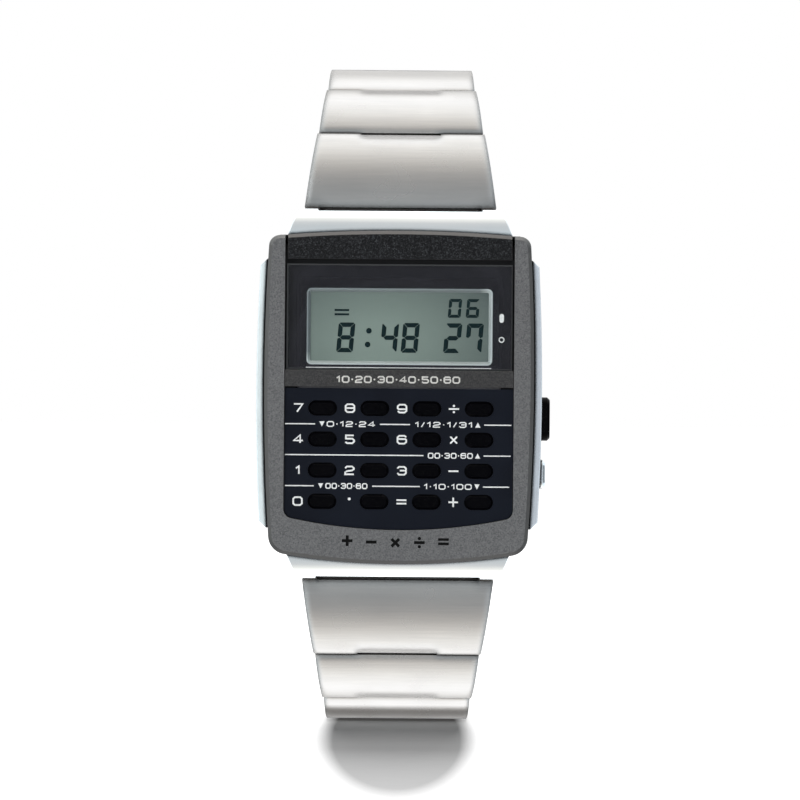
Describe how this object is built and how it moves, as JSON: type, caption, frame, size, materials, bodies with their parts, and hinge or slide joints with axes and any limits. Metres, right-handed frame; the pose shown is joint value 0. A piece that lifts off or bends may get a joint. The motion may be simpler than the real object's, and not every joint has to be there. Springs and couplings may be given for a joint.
{
  "type": "calculator watch",
  "caption": "Digital wristwatch with display, calculator keypad, side buttons and a closed steel link bracelet with fold-over clasp.",
  "frame": {"origin": "centre of the case back's flat outer face, which rests on the wrist", "axes": "+Z to 12 o'clock, +X to 3 o'clock, and the dial faces -Y, so +Y goes through the case to the wrist"},
  "size_m": [0.0344, 0.0493, 0.0788],
  "materials": {
    "chromed_resin": "gloss",
    "bezel_paint": "satin",
    "black_resin": "satin",
    "bar_paint": "satin",
    "crystal": "gloss",
    "pale_resin": "satin",
    "display_glass": "gloss",
    "foil": "satin",
    "silicone": "matte",
    "keypad_panel": "satin",
    "board": "satin",
    "chip_epoxy": "matte",
    "module_resin": "satin",
    "cell_steel": "satin",
    "spring_steel": "satin",
    "sounder_brass": "satin",
    "back_steel": "satin",
    "seal_rubber": "matte",
    "screw_steel": "satin",
    "button_black": "satin",
    "button_chrome": "gloss",
    "key_black": "satin",
    "band_steel": "satin",
    "clasp_steel": "satin"
  },
  "bodies": {
    "case": {"case_middle": "chromed_resin", "bezel": "bezel_paint", "header_strip": "black_resin", "window_bar": "bar_paint", "window_crystal": "crystal", "lcd_surround": "black_resin", "lcd_frame": "pale_resin", "lcd_glass": "display_glass", "lcd_reflector": "foil", "zebra_connectors": "silicone", "keypad_plate": "keypad_panel", "key_rubber": "silicone", "circuit_board": "board", "timer_chip": "chip_epoxy", "module_frame": "module_resin", "battery": "cell_steel", "battery_clip": "spring_steel", "sounder_disc": "sounder_brass", "case_back": "back_steel", "back_gasket": "seal_rubber", "back_screws": "screw_steel", "button_seals": "seal_rubber", "spring_bars": "spring_steel"},
    "key_7": {"key_7": "key_black"},
    "key_8": {"key_8": "key_black"},
    "key_9": {"key_9": "key_black"},
    "key_divide": {"key_divide": "key_black"},
    "key_4": {"key_4": "key_black"},
    "key_5": {"key_5": "key_black"},
    "key_6": {"key_6": "key_black"},
    "key_multiply": {"key_multiply": "key_black"},
    "key_1": {"key_1": "key_black"},
    "key_2": {"key_2": "key_black"},
    "key_3": {"key_3": "key_black"},
    "key_subtract": {"key_subtract": "key_black"},
    "key_0": {"key_0": "key_black"},
    "key_point": {"key_point": "key_black"},
    "key_equals": {"key_equals": "key_black"},
    "key_add": {"key_add": "key_black"},
    "mode_button": {"mode_button": "button_black"},
    "adjust_button": {"adjust_button": "button_chrome"},
    "upper_link_1": {"upper_link_1": "band_steel"},
    "upper_link_2": {"upper_link_2": "band_steel"},
    "upper_link_3": {"upper_link_3": "band_steel"},
    "upper_link_4": {"upper_link_4": "band_steel"},
    "upper_link_5": {"upper_link_5": "band_steel"},
    "upper_link_6": {"upper_link_6": "band_steel"},
    "upper_link_7": {"upper_link_7": "band_steel"},
    "lower_link_1": {"lower_link_1": "band_steel"},
    "lower_link_2": {"lower_link_2": "band_steel"},
    "lower_link_3": {"lower_link_3": "band_steel"},
    "lower_link_4": {"lower_link_4": "band_steel"},
    "lower_link_5": {"lower_link_5": "band_steel"},
    "lower_link_6": {"lower_link_6": "band_steel"},
    "lower_link_7": {"lower_link_7": "band_steel"},
    "clasp_base": {"clasp_base": "clasp_steel"},
    "clasp_blade": {"clasp_blade": "clasp_steel"},
    "clasp_cover": {"clasp_cover": "clasp_steel"}
  },
  "joints": [
    {"name": "key_7_press", "type": "slide", "parent": "case", "child": "key_7", "axis": [0, 1, 0], "range_m": [0, 0.0003], "stiffness_N_per_m": 1500},
    {"name": "key_8_press", "type": "slide", "parent": "case", "child": "key_8", "axis": [0, 1, 0], "range_m": [0, 0.0003], "stiffness_N_per_m": 1500},
    {"name": "key_9_press", "type": "slide", "parent": "case", "child": "key_9", "axis": [0, 1, 0], "range_m": [0, 0.0003], "stiffness_N_per_m": 1500},
    {"name": "key_divide_press", "type": "slide", "parent": "case", "child": "key_divide", "axis": [0, 1, 0], "range_m": [0, 0.0003], "stiffness_N_per_m": 1500},
    {"name": "key_4_press", "type": "slide", "parent": "case", "child": "key_4", "axis": [0, 1, 0], "range_m": [0, 0.0003], "stiffness_N_per_m": 1500},
    {"name": "key_5_press", "type": "slide", "parent": "case", "child": "key_5", "axis": [0, 1, 0], "range_m": [0, 0.0003], "stiffness_N_per_m": 1500},
    {"name": "key_6_press", "type": "slide", "parent": "case", "child": "key_6", "axis": [0, 1, 0], "range_m": [0, 0.0003], "stiffness_N_per_m": 1500},
    {"name": "key_multiply_press", "type": "slide", "parent": "case", "child": "key_multiply", "axis": [0, 1, 0], "range_m": [0, 0.0003], "stiffness_N_per_m": 1500},
    {"name": "key_1_press", "type": "slide", "parent": "case", "child": "key_1", "axis": [0, 1, 0], "range_m": [0, 0.0003], "stiffness_N_per_m": 1500},
    {"name": "key_2_press", "type": "slide", "parent": "case", "child": "key_2", "axis": [0, 1, 0], "range_m": [0, 0.0003], "stiffness_N_per_m": 1500},
    {"name": "key_3_press", "type": "slide", "parent": "case", "child": "key_3", "axis": [0, 1, 0], "range_m": [0, 0.0003], "stiffness_N_per_m": 1500},
    {"name": "key_subtract_press", "type": "slide", "parent": "case", "child": "key_subtract", "axis": [0, 1, 0], "range_m": [0, 0.0003], "stiffness_N_per_m": 1500},
    {"name": "key_0_press", "type": "slide", "parent": "case", "child": "key_0", "axis": [0, 1, 0], "range_m": [0, 0.0003], "stiffness_N_per_m": 1500},
    {"name": "key_point_press", "type": "slide", "parent": "case", "child": "key_point", "axis": [0, 1, 0], "range_m": [0, 0.0003], "stiffness_N_per_m": 1500},
    {"name": "key_equals_press", "type": "slide", "parent": "case", "child": "key_equals", "axis": [0, 1, 0], "range_m": [0, 0.0003], "stiffness_N_per_m": 1500},
    {"name": "key_add_press", "type": "slide", "parent": "case", "child": "key_add", "axis": [0, 1, 0], "range_m": [0, 0.0003], "stiffness_N_per_m": 1500},
    {"name": "mode_button_press", "type": "slide", "parent": "case", "child": "mode_button", "axis": [-1, 0, 0], "range_m": [0, 0.0005], "stiffness_N_per_m": 2000},
    {"name": "adjust_button_press", "type": "slide", "parent": "case", "child": "adjust_button", "axis": [-1, 0, 0], "range_m": [0, 0.00035], "stiffness_N_per_m": 2000},
    {"name": "upper_link_1_hinge", "type": "hinge", "parent": "case", "child": "upper_link_1", "pos_m": [0, -0.003, 0.0202], "axis": [1, 0, 0], "range_deg": [0, 15]},
    {"name": "upper_link_2_hinge", "type": "hinge", "parent": "upper_link_1", "child": "upper_link_2", "pos_m": [0, 0.00156, 0.02955], "axis": [1, 0, 0], "range_deg": [0, 20]},
    {"name": "upper_link_3_hinge", "type": "hinge", "parent": "upper_link_2", "child": "upper_link_3", "pos_m": [0, 0.00731, 0.0351], "axis": [1, 0, 0], "range_deg": [0, 22]},
    {"name": "upper_link_4_hinge", "type": "hinge", "parent": "upper_link_3", "child": "upper_link_4", "pos_m": [0, 0.01473, 0.0381], "axis": [1, 0, 0], "range_deg": [0, 22]},
    {"name": "upper_link_5_hinge", "type": "hinge", "parent": "upper_link_4", "child": "upper_link_5", "pos_m": [0, 0.02273, 0.0381], "axis": [1, 0, 0], "range_deg": [0, 23]},
    {"name": "upper_link_6_hinge", "type": "hinge", "parent": "upper_link_5", "child": "upper_link_6", "pos_m": [0, 0.0301, 0.03498], "axis": [1, 0, 0], "range_deg": [0, 25]},
    {"name": "upper_link_7_hinge", "type": "hinge", "parent": "upper_link_6", "child": "upper_link_7", "pos_m": [0, 0.03545, 0.02903], "axis": [1, 0, 0], "range_deg": [0, 25]},
    {"name": "lower_link_1_hinge", "type": "hinge", "parent": "case", "child": "lower_link_1", "pos_m": [0, -0.003, -0.0202], "axis": [-1, 0, 0], "range_deg": [0, 15]},
    {"name": "lower_link_2_hinge", "type": "hinge", "parent": "lower_link_1", "child": "lower_link_2", "pos_m": [0, 0.00156, -0.02955], "axis": [-1, 0, 0], "range_deg": [0, 20]},
    {"name": "lower_link_3_hinge", "type": "hinge", "parent": "lower_link_2", "child": "lower_link_3", "pos_m": [0, 0.00731, -0.0351], "axis": [-1, 0, 0], "range_deg": [0, 22]},
    {"name": "lower_link_4_hinge", "type": "hinge", "parent": "lower_link_3", "child": "lower_link_4", "pos_m": [0, 0.01473, -0.0381], "axis": [-1, 0, 0], "range_deg": [0, 22]},
    {"name": "lower_link_5_hinge", "type": "hinge", "parent": "lower_link_4", "child": "lower_link_5", "pos_m": [0, 0.02273, -0.0381], "axis": [-1, 0, 0], "range_deg": [0, 23]},
    {"name": "lower_link_6_hinge", "type": "hinge", "parent": "lower_link_5", "child": "lower_link_6", "pos_m": [0, 0.0301, -0.03498], "axis": [-1, 0, 0], "range_deg": [0, 25]},
    {"name": "lower_link_7_hinge", "type": "hinge", "parent": "lower_link_6", "child": "lower_link_7", "pos_m": [0, 0.03545, -0.02903], "axis": [-1, 0, 0], "range_deg": [0, 25]},
    {"name": "clasp_base_hinge", "type": "hinge", "parent": "upper_link_7", "child": "clasp_base", "pos_m": [0, 0.03779, 0.02138], "axis": [1, 0, 0], "range_deg": [0, 17]},
    {"name": "clasp_blade_hinge", "type": "hinge", "parent": "clasp_base", "child": "clasp_blade", "pos_m": [0, 0.03841, -0.0165], "axis": [-1, 0, 0], "range_deg": [0, 120]},
    {"name": "clasp_cover_hinge", "type": "hinge", "parent": "clasp_blade", "child": "clasp_cover", "pos_m": [0, 0.03979, 0.0182], "axis": [1, 0, 0], "range_deg": [0, 120]}
  ]
}
